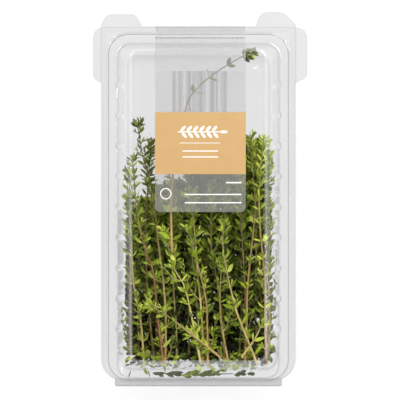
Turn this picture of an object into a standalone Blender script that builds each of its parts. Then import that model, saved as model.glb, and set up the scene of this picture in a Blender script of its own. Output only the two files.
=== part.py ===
"""Loose thyme sprigs in a clear hinged clamshell pack, lying on its back.

The pack is thermoformed from one thin clear sheet: a tray half and a lid half that are joined
by a living hinge along one short side. A film label lies on the lid, and its tail seals the
opening edge. The sprigs lie in layers inside, with their cut ends towards the hinge.

Sizes are written in millimetres and become metres as each mesh is made. In the pack's own
frame X runs across it from the flange's middle, Y runs from the hinge to the opening edge,
and Z points up from the surface that the tray stands on.
"""

import math
import random

import bmesh
import bpy
from mathutils import Vector

MM = 0.001

# The sheet and its film labels.
SHEET = 0.5
FILM = 0.2
TOUCH_GAP = 0.35

# The flange that both halves share.
FLANGE_HALF = 50.0
FLANGE_TOP = 88.6
HINGE_EDGE = -96.0
HINGE_HALF = 42.7
TRAY_FLANGE_Z = 22.25
LID_FLANGE_Z = 23.05

# Peel tabs: how far the tray's reach out sideways, and where the lid's end.
LEFT_TAB_REACH = 53.9
RIGHT_TAB_REACH = 55.7
SIDE_TAB_FOOT = 59.6
SIDE_TAB_TIP = 87.2
LEFT_TAB_TIP = 94.9
RIGHT_TAB_TIP = 96.0
TAB_NOOK = 0.8

# The pack's box is centred on the origin, and the wider right tab shifts the flange.
PACK_X = (LEFT_TAB_REACH - RIGHT_TAB_REACH) / 2

# The living hinge's fold line.
HINGE_Y = HINGE_EDGE - 0.15
HINGE_Z = (TRAY_FLANGE_Z + LID_FLANGE_Z) / 2

# Ribs in the tray's long walls, which stand out from the well.
RIB_COUNT = 9
RIB_PITCH = 15.65
RIB_FIRST = -66.4
RIB_DEPTH = 1.2
RIB_FOOT = 1.7
RIB_CREST = 0.7

# Rounded rectangles of the two shells' middle surface: half width, low y, high y, corner, z.
# In the well a sixth number says how much of the ribs shows.
TRAY_RIM = [
    (46.1, -92.5, 84.8, 10.4, TRAY_FLANGE_Z),
    (45.8, -92.2, 84.5, 10.1, 24.6),
]
TRAY_WELL = [
    (41.1, -91.6, 79.5, 6.5, 24.6, 1.0),
    (40.9, -91.3, 79.2, 6.2, 20.6, 1.0),
    (40.8, -87.8, 79.1, 6.1, 20.2, 1.0),
    (38.7, -85.9, 76.9, 6.0, 2.4, 1.0),
    (37.5, -84.7, 75.7, 5.0, SHEET / 2, 0.0),
]
TRAY_FOOT = [
    (33.0, -79.4, 70.4, 4.5, SHEET / 2),
    (32.2, -78.6, 69.6, 4.0, 1.5),
]
LID_RINGS = [
    (47.0, -93.4, 85.7, 11.3, LID_FLANGE_Z),
    (46.7, -93.1, 85.4, 11.0, 25.5),
    (41.4, -91.3, 79.4, 6.0, 25.5),
    (35.7, -83.9, 77.0, 5.0, 32.8),
    (34.4, -82.3, 75.8, 4.2, 33.9),
]

# Labels: one width for the front and the back one.
LABEL_MIDDLE = 1.0
LABEL_HALF = 23.3
FRONT_LABEL_END = -6.4
BACK_LABEL_LOW = -8.0
BACK_LABEL_HIGH = 68.0
BACK_LABEL_Z = 0.75

# Sprigs: their layers' heights, and the size of a stem and of a leaf.
LAYER_Z = [4.8, 9.0, 13.2, 17.4, 21.6, 25.8, 29.8]
STEM_FOOT = 0.8
STEM_TIP = 0.4
LEAF_LENGTH = 5.6
LEAF_WIDTH = 2.3
LEAF_THICK = 0.55
LEAF_ANGLE = math.radians(48)
LEAF_FOOT = 1.4
PAIR_PITCH = 17.0

# Routes seen through the lid, from the cut end to the tip, layer by layer: (x, y).
ROUTES = {
    6: [
        [(11.5, -80.5), (-5.5, -67), (-15.5, -59.5), (-25, -53.5)],
        [(22, -80), (29, -70.5), (33, -62)],
        [(-13.5, -26), (-14, -3), (-12, 20), (-7, 45), (-3, 54), (7.4, 63.5), (20, 70.5), (27.5, 72.5)],
    ],
    5: [
        [(-18, -84), (-23, -39), (-27, -27), (-31, -8), (-34, 21)],
        [(1.5, -84), (-4, -58), (-7.5, -44), (-13, -33.5), (-17, -15.5)],
        [(4.5, -85), (4.5, -65.5), (4, -51), (-1, -31), (-5.5, -14.5)],
        [(30, -84.5), (22.5, -65.5), (18.5, -53), (12.5, -26), (13, -11.5)],
        [(35, -84), (34, -49.5), (32.5, -26), (31, 10), (33.5, 31.5)],
    ],
    4: [
        [(-28.5, -84), (-29.5, -62), (-33.5, -41), (-35, -13), (-36, 0)],
        [(-17, -85), (-17.5, -46), (-21, -19.5), (-24.5, 7.5), (-28.5, 24.5), (-32, 42)],
        [(2.5, -84.5), (0.5, -46), (-2, -17.5), (-6, 12.5)],
        [(15, -85), (12, -64.5), (11.5, -46.5), (11.5, -32)],
        [(24, -84), (25, -49.5), (27, -28), (29, 0), (26.5, 31)],
    ],
    3: [
        [(-34, -80), (-35.5, -50), (-35, -20), (-36, 14)],
        [(-22.5, -84.5), (-25, -61), (-27, -36), (-27, -15.5), (-26, 8), (-24.6, 30)],
        [(-11, -85), (-13, -41), (-14, -8), (-13.5, 9)],
        [(2, -84), (-1.5, -51), (-3, -26), (-3.5, 4)],
        [(14, -85), (10, -44), (6.5, -21), (6.5, 9)],
        [(25.5, -85), (23.5, -41), (22.5, -15.5), (20, 12)],
        [(36.0, -80), (36.5, -46.5), (36, -8), (36.5, 22)],
    ],
}

# The hidden layers below them: how many sprigs lie side by side, and between which ends.
LANES_IN_A_LAYER = 8
LANE_SPAN = 61.0
LANE_SHIFTS = (-3.0, 3.0, 0.0)
LANE_FOOT_Y = -84.5
LANE_BELLY_Y = -30.0
LANE_TIPS = (-10.0, -4.0, 2.0, 5.0, 6.0, 8.0, 14.0, 20.0)

# What has fallen off onto the shelf at the hinge end: x, length, width and turn in degrees.
FALLEN_BITS = [
    (-35.3, 2.9, 1.0, 72),
    (-25.4, 2.9, 1.0, -72),
    (-20.8, 5.4, 1.8, -12),
    (-13.0, 8.0, 1.6, -4),
    (-4.2, 7.4, 2.4, 9),
    (3.4, 5.8, 2.3, 14),
    (8.5, 3.2, 1.7, 20),
    (14.2, 7.2, 0.9, 1),
    (21.2, 5.6, 2.2, 12),
    (26.8, 3.4, 1.6, -10),
]
FALLEN_Y = -89.3
FALLEN_Z = 21.35
FALLEN_THICK = 0.8


def clear_scene():
    """Removes whatever the file opened with."""
    for item in list(bpy.data.objects):
        bpy.data.objects.remove(item, do_unlink=True)


def make_material(name, colour, roughness, alpha=1.0):
    """One Principled material."""
    material = bpy.data.materials.new(name)
    material.use_nodes = True
    shader = material.node_tree.nodes["Principled BSDF"]
    shader.inputs["Base Color"].default_value = (*colour, 1.0)
    shader.inputs["Roughness"].default_value = roughness
    shader.inputs["Metallic"].default_value = 0.0
    shader.inputs["Alpha"].default_value = alpha
    return material


def make_empty(name, place, parent=None):
    """An empty that carries others; place is in millimetres and counts from its parent."""
    empty = bpy.data.objects.new(name, None)
    bpy.context.collection.objects.link(empty)
    empty.parent = parent
    empty.location = Vector(place) * MM
    return empty


def add_point(bm, x, y, z):
    """A vertex at a place given in millimetres."""
    return bm.verts.new((x * MM, y * MM, z * MM))


def finish_object(name, bm, material, parent, smooth_angle=30.0):
    """Turns a bmesh into an object that is shaded smooth up to smooth_angle."""
    bmesh.ops.recalc_face_normals(bm, faces=bm.faces)
    mesh = bpy.data.meshes.new(name)
    bm.to_mesh(mesh)
    bm.free()
    mesh.materials.append(material)
    mesh.shade_smooth()
    mesh.set_sharp_from_angle(angle=math.radians(smooth_angle))
    piece = bpy.data.objects.new(name, mesh)
    bpy.context.collection.objects.link(piece)
    piece.parent = parent
    return piece


def add_sheet_thickness(piece):
    """Gives an open surface the sheet's thickness, half on each side."""
    solidify = piece.modifiers.new("sheet", "SOLIDIFY")
    solidify.thickness = SHEET * MM
    solidify.offset = 0.0
    solidify.use_even_offset = True


def arc_points(middle_x, middle_y, radius, start, steps=5):
    """A quarter turn anticlockwise from the start angle, in degrees."""
    points = []
    for step in range(steps + 1):
        angle = math.radians(start + 90.0 * step / steps)
        points.append((middle_x + radius * math.cos(angle), middle_y + radius * math.sin(angle)))
    return points


def ribbed_side(x, ribs_up):
    """Points of one long side: each rib is a flat-topped bump away from the pack's middle."""
    outward = math.copysign(RIB_DEPTH * ribs_up, x)
    points = []
    for rib in range(RIB_COUNT):
        middle = RIB_FIRST + rib * RIB_PITCH
        for along, depth in ((-RIB_FOOT, 0), (-RIB_CREST, 1), (RIB_CREST, 1), (RIB_FOOT, 0)):
            points.append((x + outward * depth, middle + along))
    return points


def ring_points(ring, ribs_up=None):
    """A rounded rectangle, anticlockwise from its right side; ribs_up of 1 is a full rib."""
    half, low, high, corner = ring[:4]
    points = []
    if ribs_up is not None:
        points += ribbed_side(half, ribs_up)
    points += arc_points(half - corner, high - corner, corner, 0)
    points += arc_points(corner - half, high - corner, corner, 90)
    if ribs_up is not None:
        points += reversed(ribbed_side(-half, ribs_up))
    points += arc_points(corner - half, low + corner, corner, 180)
    points += arc_points(half - corner, low + corner, corner, 270)
    return points


def add_ring(bm, ring, ribs_up=None):
    """The vertices of one ring."""
    return [add_point(bm, x, y, ring[4]) for x, y in ring_points(ring, ribs_up)]


def join_rings(bm, outer, inner):
    """Quads between two rings that have the same number of vertices."""
    count = len(outer)
    for index in range(count):
        following = (index + 1) % count
        bm.faces.new((outer[index], outer[following], inner[following], inner[index]))


def rounded_outline(corners):
    """Rounds the corners of a polygon; each corner is x, y and the radius there."""
    points = []
    count = len(corners)
    for index, (x, y, radius) in enumerate(corners):
        here = Vector((x, y))
        back = (Vector(corners[index - 1][:2]) - here).normalized()
        ahead = (Vector(corners[(index + 1) % count][:2]) - here).normalized()
        half_angle = back.angle(ahead) / 2
        middle = here + (back + ahead).normalized() * radius / math.sin(half_angle)
        first = here + back * radius / math.tan(half_angle) - middle
        last = here + ahead * radius / math.tan(half_angle) - middle
        sweep = first.angle(last)
        steps = 5 if radius > 2 else 2
        for step in range(steps + 1):
            angle = sweep * step / steps
            spoke = (first * math.sin(sweep - angle) + last * math.sin(angle)) / math.sin(sweep)
            points.append(tuple(middle + spoke))
    return points


def flange_corners(right_side, top_side, left_side):
    """The flange's outline, anticlockwise from the hinge strip, with the tabs put in."""
    strip_right = [
        (HINGE_HALF, HINGE_EDGE, 1.5),
        (HINGE_HALF, -91.9, 0.6),
        (FLANGE_HALF, -88.4, 11.0),
    ]
    strip_left = [(-x, y, radius) for x, y, radius in reversed(strip_right)]
    return strip_right + right_side + top_side + left_side + strip_left


def tray_corners():
    """The tray's outline: a tab on each long side, next to the opening edge."""
    right_tab = [
        (FLANGE_HALF, SIDE_TAB_FOOT, TAB_NOOK),
        (RIGHT_TAB_REACH, SIDE_TAB_FOOT + 3.2, 3.5),
        (RIGHT_TAB_REACH, SIDE_TAB_TIP, 5.0),
    ]
    left_tab = [
        (-LEFT_TAB_REACH, SIDE_TAB_TIP, 5.0),
        (-LEFT_TAB_REACH, SIDE_TAB_FOOT + 2.6, 3.0),
        (-FLANGE_HALF, SIDE_TAB_FOOT, TAB_NOOK),
    ]
    top = [(48.0, FLANGE_TOP, 3.0), (-48.0, FLANGE_TOP, 3.0)]
    return flange_corners(right_tab, top, left_tab)


def lid_corners():
    """The lid's outline: two rounded tabs that stand past the opening edge."""
    right_tab = [
        (FLANGE_HALF, 89.4, 2.5),
        (43.6, RIGHT_TAB_TIP, 7.0),
        (31.2, RIGHT_TAB_TIP, 5.5),
        (29.6, FLANGE_TOP, TAB_NOOK),
    ]
    left_tab = [
        (-28.8, FLANGE_TOP, TAB_NOOK),
        (-32.4, LEFT_TAB_TIP, 3.4),
        (-47.4, LEFT_TAB_TIP, 4.6),
        (-FLANGE_HALF, FLANGE_TOP, 2.5),
    ]
    return flange_corners(right_tab, [], left_tab)


def add_flange(bm, corners, z, inner_ring):
    """The flat flange between an outline and the rim's foot."""
    outline = [add_point(bm, x, y, z) for x, y in rounded_outline(corners)]
    edges = []
    for loop in (outline, inner_ring):
        for index in range(len(loop)):
            pair = (loop[index - 1], loop[index])
            edges.append(bm.edges.get(pair) or bm.edges.new(pair))
    bmesh.ops.triangle_fill(bm, use_beauty=True, edges=edges)


def make_shell(name, rings, corners, material, parent):
    """A thermoformed half: a chain of rings, closed in the middle, with its flange outside."""
    bm = bmesh.new()
    loops = [add_ring(bm, ring, ribs_up) for ring, ribs_up in rings]
    for outer, inner in zip(loops, loops[1:]):
        join_rings(bm, outer, inner)
    bm.faces.new(loops[-1])
    add_flange(bm, corners, rings[0][0][4], loops[0])
    piece = finish_object(name, bm, material, parent)
    add_sheet_thickness(piece)
    return piece


def make_tray(parent, material):
    """The deep half. Its ribs fade out at the base."""
    rings = [(ring, 0) for ring in TRAY_RIM]
    rings += [(ring, ring[5]) for ring in TRAY_WELL]
    rings += [(ring, 0) for ring in TRAY_FOOT]
    return make_shell("tray", rings, tray_corners(), material, parent)


def make_lid(hinge, material):
    """The shallow half with its raised panel; its parent lies on the fold line."""
    rings = [(ring, None) for ring in LID_RINGS]
    lid = make_shell("lid", rings, lid_corners(), material, hinge)
    lid.location = Vector((0, -HINGE_Y, -HINGE_Z)) * MM
    return lid


def offset_path(points, distance):
    """Moves a path in the Y-Z plane to its right by a distance, with mitred corners."""
    moved = []
    for index, point in enumerate(points):
        here = Vector(point)
        sides = []
        if index > 0:
            sides.append((here - Vector(points[index - 1])).normalized())
        if index < len(points) - 1:
            sides.append((Vector(points[index + 1]) - here).normalized())
        normals = [Vector((side.y, -side.x)) for side in sides]
        miter = (normals[0] + normals[-1]).normalized()
        moved.append(here + miter * distance / miter.dot(normals[0]))
    return moved


def make_film(name, path, clearance, material, parent, place=(0, 0, 0)):
    """A strip of film along a path in the Y-Z plane, standing off it by the clearance."""
    profile = offset_path(path, clearance) + offset_path(path, clearance + FILM)[::-1]
    bm = bmesh.new()
    side = bm.faces.new([add_point(bm, LABEL_MIDDLE - LABEL_HALF, y, z) for y, z in profile])
    swept = bmesh.ops.extrude_face_region(bm, geom=[side], use_keep_orig=True)
    moved = [item for item in swept["geom"] if isinstance(item, bmesh.types.BMVert)]
    bmesh.ops.translate(bm, verts=moved, vec=(2 * LABEL_HALF * MM, 0, 0))
    film = finish_object(name, bm, material, parent)
    film.location = Vector(place) * MM
    return film


def make_labels(pack, hinge, material):
    """The lid's label, the tail that it leaves under the tray's flange, and the base's label."""
    clearance = SHEET / 2 + TOUCH_GAP
    over_edge = [(FLANGE_TOP, LID_FLANGE_Z - SHEET / 2), (FLANGE_TOP, LID_FLANGE_Z)]
    down_lid = [(high, z) for _, _, high, _, z in LID_RINGS]
    front = over_edge + down_lid + [(FRONT_LABEL_END, LID_RINGS[-1][4])]
    make_film("label_front", front, clearance, material, hinge, (0, -HINGE_Y, -HINGE_Z))
    tail = [
        (TRAY_RIM[0][2] + SHEET + TOUCH_GAP, TRAY_FLANGE_Z),
        (FLANGE_TOP, TRAY_FLANGE_Z),
        (FLANGE_TOP, TRAY_FLANGE_Z + SHEET / 2),
    ]
    make_film("label_seal", tail, clearance, material, pack)
    back = [(BACK_LABEL_LOW, BACK_LABEL_Z), (BACK_LABEL_HIGH, BACK_LABEL_Z)]
    make_film("label_back", back, 0.0, material, pack)


def lane_routes(layer):
    """Routes of one hidden layer: side by side, all leaning the same slight way."""
    rng = random.Random(40 + layer)
    lean = rng.uniform(-3.0, 3.0)
    routes = []
    for lane in range(LANES_IN_A_LAYER):
        x = LANE_SPAN * (lane / (LANES_IN_A_LAYER - 1) - 0.5) + LANE_SHIFTS[layer]
        foot = (x - lean / 2, LANE_FOOT_Y + rng.uniform(0.0, 4.0))
        belly = (x + rng.uniform(-1.2, 1.2), LANE_BELLY_Y)
        tip = (x + lean / 2, LANE_TIPS[lane] + rng.uniform(-5.0, 5.0))
        routes.append([foot, belly, tip])
    return routes


def route_point(route, part):
    """A point on a smooth curve through a route; part runs from 0 at the foot to 1 at the tip."""
    points = [Vector(point) for point in route]
    points = [2 * points[0] - points[1]] + points + [2 * points[-1] - points[-2]]
    place = part * (len(route) - 1)
    index = min(int(place), len(route) - 2)
    t = place - index
    before, start, end, after = points[index : index + 4]
    bend = 2 * start + (end - before) * t
    bend += (2 * before - 5 * start + 4 * end - after) * t * t
    bend += (3 * start - before - 3 * end + after) * t * t * t
    return bend / 2


def route_length(route):
    """The summed length of a route's straight runs."""
    return sum((Vector(end) - Vector(start)).length for start, end in zip(route, route[1:]))


def wall_half(z):
    """Half the free width inside the closed pack at a height."""
    rings = TRAY_WELL[:0:-1] + LID_RINGS[2:4]
    for lower, upper in zip(rings, rings[1:]):
        if z <= upper[4]:
            part = max(z - lower[4], 0.0) / (upper[4] - lower[4])
            half = lower[0] + (upper[0] - lower[0]) * part
            return half - SHEET / 2 - TOUCH_GAP
    return rings[-1][0]


def free_reach(place, z, route, neighbours):
    """How far a leaf may reach sideways before it nears a wall or another sprig's leaves."""
    reach = min(LEAF_LENGTH, wall_half(z) - abs(place.x))
    for other in neighbours:
        if other is not route:
            nearest = min((route_point(other, step / 40) - place).length for step in range(41))
            reach = min(reach, nearest / 2 - TOUCH_GAP)
    return max(reach, STEM_FOOT + 0.8)


def stem_ring(bm, route, part, z, radius):
    """Four vertices round the stem, and the directions along it and to its right."""
    centre = route_point(route, part)
    ahead = route_point(route, min(part + 0.01, 1.0))
    behind = route_point(route, max(part - 0.01, 0.0))
    along = (ahead - behind).normalized()
    right = Vector((along.y, -along.x))
    corners = []
    for side, up in ((1, 1), (-1, 1), (-1, -1), (1, -1)):
        x, y = centre + right * side * radius
        corners.append(add_point(bm, x, y, z + up * radius))
    return corners, centre, along, right


def grow_leaf(bm, face, centre, along, outward, reach, z):
    """Draws a leaf out of one side face of the stem."""
    slant = outward * math.sin(LEAF_ANGLE) + along * math.cos(LEAF_ANGLE)
    across = along * math.sin(LEAF_ANGLE) - outward * math.cos(LEAF_ANGLE)
    length = min(LEAF_LENGTH, reach / math.sin(LEAF_ANGLE))
    width = LEAF_WIDTH * length / LEAF_LENGTH
    blade = bmesh.ops.extrude_discrete_faces(bm, faces=[face])["faces"][0]
    for vert in blade.verts:
        forward = Vector(vert.co.xy / MM - centre).dot(along)
        ahead = math.copysign(width / 2, forward)
        above = math.copysign(LEAF_THICK / 2, vert.co.z / MM - z)
        x, y = centre + slant * length * 0.55 + across * ahead
        vert.co = Vector((x, y, z + above)) * MM
    tip = bmesh.ops.poke(bm, faces=[blade])["verts"][0]
    x, y = centre + slant * length
    tip.co = Vector((x, y, z)) * MM


def make_sprig(name, route, neighbours, z, material, parent):
    """One cut sprig: a square tapering stem with pairs of leaves."""
    length = route_length(route)
    pairs = max(2, min(6, round(length / PAIR_PITCH)))
    stations = [0.0]
    for pair in range(pairs):
        middle = (pair + 0.75) / pairs
        stations += [middle - LEAF_FOOT / 2 / length, middle + LEAF_FOOT / 2 / length]
    stations.append(1.0)
    bm = bmesh.new()
    rings = []
    for part in stations:
        radius = STEM_FOOT + (STEM_TIP - STEM_FOOT) * part
        rings.append(stem_ring(bm, route, part, z, radius))
    leaf_faces = []
    for index in range(len(rings) - 1):
        low, high = rings[index][0], rings[index + 1][0]
        for corner in range(4):
            following = (corner + 1) % 4
            face = bm.faces.new((low[corner], low[following], high[following], high[corner]))
            if index % 2 == 1 and corner in (1, 3):
                leaf_faces.append((face, index, 1 if corner == 3 else -1))
    bm.faces.new(rings[0][0][::-1])
    bm.faces.new(rings[-1][0])
    bmesh.ops.recalc_face_normals(bm, faces=bm.faces)
    for face, index, side in leaf_faces:
        centre = (rings[index][1] + rings[index + 1][1]) / 2
        _, _, along, right = rings[index]
        reach = free_reach(centre, z, route, neighbours)
        grow_leaf(bm, face, centre, along, right * side, reach, z)
    return finish_object(name, bm, material, parent)


def make_sprigs(pack, material):
    """Every sprig, from the base's layer up to the one under the lid."""
    number = 0
    for layer, z in enumerate(LAYER_Z):
        routes = ROUTES.get(layer) or lane_routes(layer)
        for route in routes:
            number += 1
            make_sprig(f"sprig_{number:02d}", route, routes, z, material, pack)


def make_fallen_bits(pack, material):
    """Loose leaves and bits of stalk on the shelf at the hinge end."""
    for number, (x, length, width, turn) in enumerate(FALLEN_BITS, start=1):
        bm = bmesh.new()
        bmesh.ops.create_icosphere(bm, subdivisions=1, radius=0.5)
        size = Vector((length, width, FALLEN_THICK)) * MM
        bmesh.ops.scale(bm, verts=bm.verts, vec=size)
        bit = finish_object(f"fallen_bit_{number:02d}", bm, material, pack, smooth_angle=80.0)
        bit.location = Vector((x, FALLEN_Y, FALLEN_Z)) * MM
        bit.rotation_euler = (0, 0, math.radians(turn))


def build():
    """Makes the whole pack."""
    clear_scene()
    plastic = make_material("clear_pet", (0.92, 0.94, 0.95), 0.06, alpha=0.3)
    film = make_material("label_film", (0.73, 0.46, 0.20), 0.3)
    herb = make_material("thyme", (0.12, 0.20, 0.04), 0.55)
    pack = make_empty("pack", (PACK_X, 0, 0))
    hinge = make_empty("lid_hinge_axis", (0, HINGE_Y, HINGE_Z), pack)
    make_tray(pack, plastic)
    make_lid(hinge, plastic)
    make_labels(pack, hinge, film)
    make_sprigs(pack, herb)
    make_fallen_bits(pack, herb)


build()
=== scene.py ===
"""Looks for the thyme pack: clear sheet shells, printed film labels, leafy sprigs, studio.

The sections and the sprigs' routes repeat those of the CAD model, in millimetres and in the
pack's own frame: X across from the flange's middle, Y from the hinge to the opening edge.
"""

import math
import random

import bmesh
import bpy
import numpy as np
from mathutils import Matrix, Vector


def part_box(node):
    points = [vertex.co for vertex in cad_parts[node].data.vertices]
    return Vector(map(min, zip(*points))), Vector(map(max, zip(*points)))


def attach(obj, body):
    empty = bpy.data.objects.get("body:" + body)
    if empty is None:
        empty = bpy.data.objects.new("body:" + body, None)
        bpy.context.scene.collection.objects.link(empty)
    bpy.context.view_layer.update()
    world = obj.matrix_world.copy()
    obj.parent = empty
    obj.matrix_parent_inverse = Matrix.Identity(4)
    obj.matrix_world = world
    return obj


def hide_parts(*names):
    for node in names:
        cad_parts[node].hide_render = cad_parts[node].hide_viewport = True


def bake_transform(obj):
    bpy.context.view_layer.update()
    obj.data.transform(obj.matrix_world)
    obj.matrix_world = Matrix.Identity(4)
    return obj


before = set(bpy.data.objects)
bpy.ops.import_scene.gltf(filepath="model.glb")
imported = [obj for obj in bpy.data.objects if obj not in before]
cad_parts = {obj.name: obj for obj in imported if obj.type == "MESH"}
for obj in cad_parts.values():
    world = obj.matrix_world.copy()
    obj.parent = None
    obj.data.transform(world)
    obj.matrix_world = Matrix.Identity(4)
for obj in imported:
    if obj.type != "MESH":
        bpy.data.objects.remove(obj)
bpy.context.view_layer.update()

MM = 0.001
LID_LOW, LID_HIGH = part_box("lid")
PACK_X = (LID_LOW[0] + LID_HIGH[0]) / 2 / MM

# The sheet is drawn a little thinner than its solid, so that the looks stay inside it.
SHEET = 0.42
FILM = 0.08
FILM_GAP = 0.06

FLANGE_HALF = 50.0
FLANGE_TOP = 88.6
HINGE_EDGE = -96.0
HINGE_HALF = 42.7
FOLD_ROUND = 0.62
TRAY_FLANGE_Z = 22.25
LID_FLANGE_Z = 23.05

LEFT_TAB_REACH = 53.9
RIGHT_TAB_REACH = 55.7
SIDE_TAB_FOOT = 59.6
SIDE_TAB_TIP = 87.2
LEFT_TAB_TIP = 94.9
RIGHT_TAB_TIP = 96.0

RIB_COUNT = 9
RIB_PITCH = 15.65
RIB_FIRST = -66.4
RIB_DEPTH = 1.2
RIB_FOOT = 1.75

# Rounded rectangles of the shells' middle surface: half width, low y, high y, corner, z,
# then how far the edge there is rounded off, how much of a rib shows, and the line painted
# along the sheet's crease: above 0 a dark one, painted shade for the light the fold refracts
# away, below 0 a milky one, a painted highlight.
Z, FILLET, RIB, CREASE = range(4, 8)
TRAY_RINGS = [
    (46.55, -92.95, 85.25, 10.85, 22.25, 0.0, 0.0, 0.0),
    (46.1, -92.5, 84.8, 10.4, 22.25, 0.5, 0.0, 1.0),
    (46.07, -92.47, 84.77, 10.37, 22.95, 0.0, 0.0, 0.0),
    (46.0, -92.4, 84.7, 10.3, 24.6, 0.35, 0.0, 0.0),
    (45.5, -92.3, 84.2, 9.9, 24.6, 0.0, 0.0, 0.0),
    (42.6, -91.85, 81.1, 7.7, 24.6, 0.0, 0.0, 0.0),
    (41.1, -91.6, 79.5, 6.5, 24.6, 0.7, 1.0, 0.45),
    (40.9, -91.3, 79.2, 6.2, 20.6, 0.35, 1.0, 0.1),
    (40.8, -87.8, 79.1, 6.1, 20.2, 0.35, 1.0, 0.1),
    (38.7, -85.9, 76.9, 6.0, 2.4, 0.6, 1.0, 0.0),
    (37.5, -84.7, 75.7, 5.0, 0.25, 0.8, 0.0, 0.3),
    (33.0, -79.4, 70.4, 4.5, 0.25, 0.4, 0.0, 0.0),
    (32.2, -78.6, 69.6, 4.0, 1.5, 0.4, 0.0, 0.0),
    (30.0, -76.4, 67.4, 3.0, 1.5, 0.0, 0.0, 0.0),
]
LID_RINGS = [
    (47.25, -93.65, 85.95, 11.55, 23.05, 0.0, 0.0, 0.0),
    (46.95, -93.35, 85.65, 11.25, 23.05, 0.5, 0.0, 0.2),
    (46.85, -93.25, 85.55, 11.15, 25.5, 0.35, 0.0, 0.2),
    (46.4, -93.1, 85.1, 10.7, 25.5, 0.0, 0.0, 0.0),
    (41.4, -91.3, 79.4, 6.0, 25.5, 0.7, 0.0, 0.0),
    (35.7, -83.9, 77.0, 5.0, 32.8, 0.9, 0.0, 0.0),
    (34.4, -82.3, 75.8, 4.2, 33.9, 1.0, 0.0, -1.0),
    (33.2, -81.1, 74.6, 3.4, 33.9, 0.0, 0.0, 0.0),
    (32.4, -80.3, 73.8, 3.0, 33.9, 0.0, 0.0, 0.0),
]
# The rings between which the herb lies, from the base up, the clearance that it keeps, and
# its lowest and highest place.
ROOM_RINGS = TRAY_RINGS[10:6:-1] + LID_RINGS[4:7]
ROOM_CLEARANCE = 0.6
ROOM_FLOOR = 2.3
ROOM_TOP = 33.3

# A band across the end by the hinge where the sheet is drawn milky.
HAZE_LOW = -86.3
HAZE_HIGH = -82.9
HAZE_HALF = 35.5

# The tray's flange is cut this much narrower, and a line this wide and dark, painted shade for
# the light the cut edge bends away, follows each cut.
TRAY_SETBACK = 0.7
CUT_LINE = 0.35
CUT_LINE_SHADE = 0.55

# Labels: the front one's printed zones end at these heights.
LABEL_MIDDLE = 1.0
LABEL_HALF = 23.0
LABEL_CORNER = 2.6
FRONT_LABEL_END = -6.3
GREY_ZONE_TOP = 12.9
TAN_ZONE_TOP = 44.3
FILM_TAIL_Y = 86.0
PERFORATION_Y = 82.6
# The way down of the front film from the lid's opening edge to its panel: y and z of the
# sheet below it; the film bridges the inner corners.
FILM_DROP = [
    (88.6, 22.85), (88.6, 23.05), (86.5, 23.05), (86.0, 23.25), (85.72, 23.7), (85.6, 24.6),
    (85.55, 25.2), (85.4, 25.42), (85.1, 25.5), (81.4, 25.5), (80.2, 25.6), (79.5, 26.0),
    (79.05, 26.7), (77.25, 32.1), (77.0, 32.6), (76.6, 33.1), (76.0, 33.6), (75.4, 33.82),
    (74.8, 33.9),
]
# The white print: its thickness, the sprig's line, and rules as left, right, y and height.
INK = 0.03
SPRIG_PRINT_Y = 34.3
PRINTED_RULES = [
    (-9.5, 11.0, 28.65, 0.3),
    (-8.0, 10.0, 24.6, 0.55),
    (-8.0, 10.0, 21.6, 0.55),
    (14.0, 21.8, 8.6, 0.7),
    (-6.9, 21.8, 2.6, 0.6),
    (-6.9, 21.8, -1.6, 0.6),
]
BACK_LABEL_LOW = -8.0
BACK_LABEL_HIGH = 67.6
BACK_LABEL_Z = 0.68

# Sprigs: layers' heights, then the routes seen through the lid, from cut end to tip.
LAYER_Z = [4.8, 9.0, 13.2, 17.4, 21.6, 25.8, 29.8]
ROUTES = {
    6: [
        [(11.5, -80.5), (-5.5, -67), (-15.5, -59.5), (-25, -53.5)],
        [(22, -80), (29, -70.5), (33, -62)],
        [(-13.5, -26), (-14, -3), (-12, 20), (-7, 45), (-3, 54), (7.4, 63.5), (20, 71.5), (27.5, 74.8)],
    ],
    5: [
        [(-18, -84), (-23, -39), (-27, -27), (-31, -8), (-34, 21)],
        [(1.5, -84), (-4, -58), (-7.5, -44), (-13, -33.5), (-17, -15.5)],
        [(4.5, -85), (4.5, -65.5), (4, -51), (-1, -31), (-5.5, -14.5)],
        [(30, -84.5), (22.5, -65.5), (18.5, -53), (12.5, -26), (13, -11.5)],
        [(35, -84), (34, -49.5), (32.5, -26), (31, 10), (33.5, 31.5)],
    ],
    4: [
        [(-28.5, -84), (-29.5, -62), (-33.5, -41), (-35, -13), (-36, 0)],
        [(-17, -85), (-17.5, -46), (-21, -19.5), (-24.5, 7.5), (-28.5, 23), (-31.5, 38.5)],
        [(2.5, -84.5), (0.5, -46), (-2, -17.5), (-6, 12.5)],
        [(15, -85), (12, -64.5), (11.5, -46.5), (11.5, -32)],
        [(24, -84), (25, -49.5), (27, -28), (29, 0), (26.5, 31)],
    ],
    3: [
        [(-34, -80), (-35.5, -50), (-35, -20), (-36, 14)],
        [(-22.5, -84.5), (-25, -61), (-27, -36), (-27, -15.5), (-26, 8), (-24.6, 30)],
        [(-11, -85), (-13, -41), (-14, -8), (-13.5, 9)],
        [(2, -84), (-1.5, -51), (-3, -26), (-3.5, 4)],
        [(14, -85), (10, -44), (6.5, -21), (6.5, 9)],
        [(25.5, -85), (23.5, -41), (22.5, -15.5), (20, 12)],
        [(36.0, -80), (36.5, -46.5), (36, -8), (36.5, 22)],
    ],
}
LANES_IN_A_LAYER = 8
LANE_SPAN = 61.0
LANE_SHIFTS = (-3.0, 3.0, 0.0)
LANE_FOOT_Y = -84.5
LANE_BELLY_Y = -30.0
LANE_TIPS = (-10.0, -4.0, 2.0, 5.0, 6.0, 8.0, 14.0, 20.0)
LANE_TIP_SHOOT = 4.0

STEM_FOOT = 0.62
STEM_TIP = 0.26


# ---- node helpers


def math_method(operation):
    """A method that adds one Math node to what it is called on and what it is given."""
    return lambda *values: calculate(operation, *values)


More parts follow.
